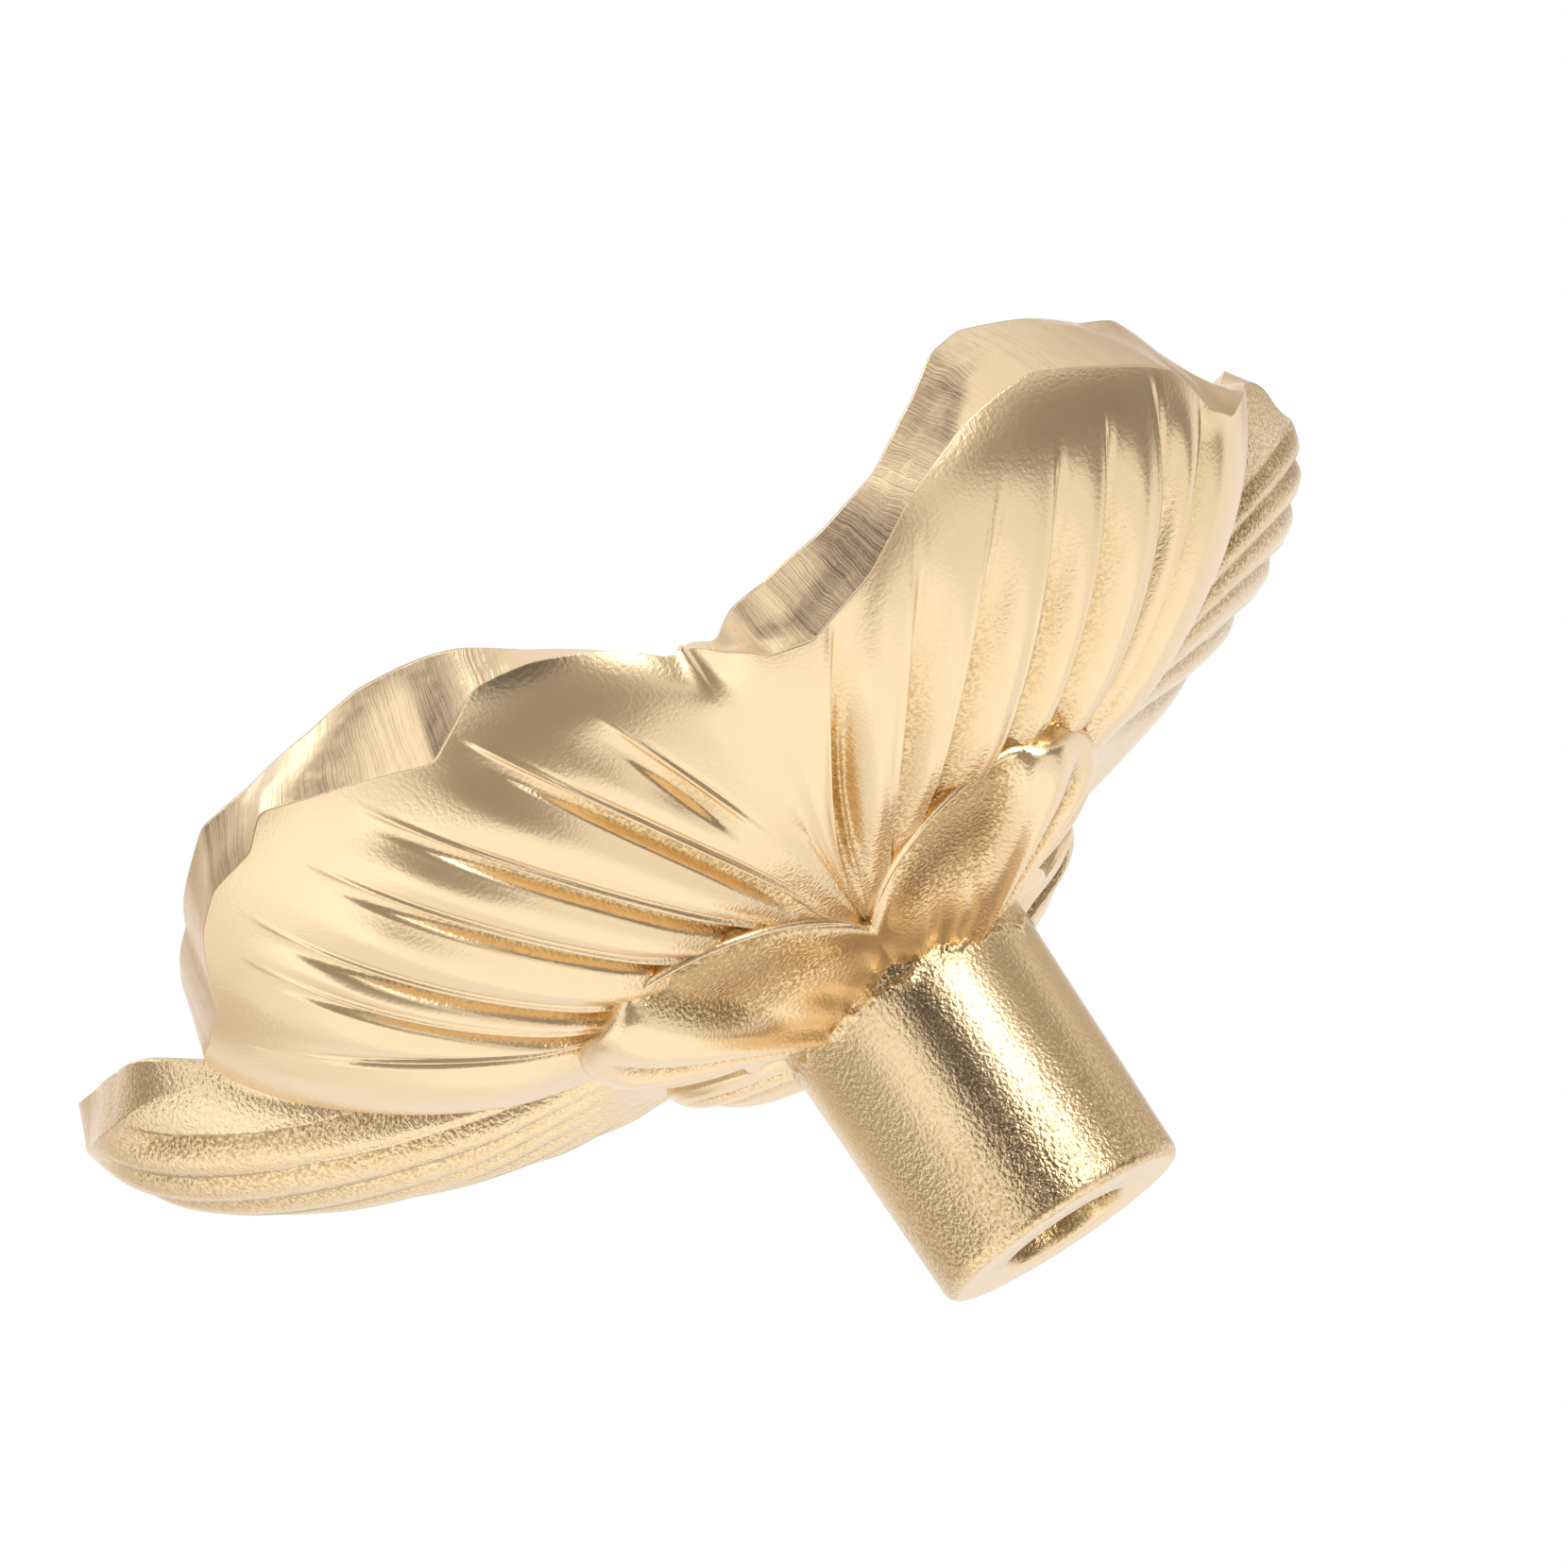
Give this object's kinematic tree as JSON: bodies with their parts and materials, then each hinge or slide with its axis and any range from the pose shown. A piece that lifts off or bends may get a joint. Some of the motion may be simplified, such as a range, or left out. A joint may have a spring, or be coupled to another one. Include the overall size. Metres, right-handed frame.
{
  "type": "flower cabinet knob",
  "caption": "Cast cabinet knob shaped as an open flower, with scalloped ground-rim petals, a leafy calyx and a round tapped stem.",
  "frame": {"origin": "centre of the screw hole's mouth in the stem's flat end face, which seats on the drawer front", "axes": "+Z along the stem from the end face to the open flower, -Y towards the two petals that the picture shows in front"},
  "size_m": [0.0447, 0.0434, 0.0222],
  "materials": {
    "cast_brass": "satin cast brass with finely ground petal rims"
  },
  "bodies": {
    "root": {"flower_knob": "cast_brass"}
  },
  "joints": []
}
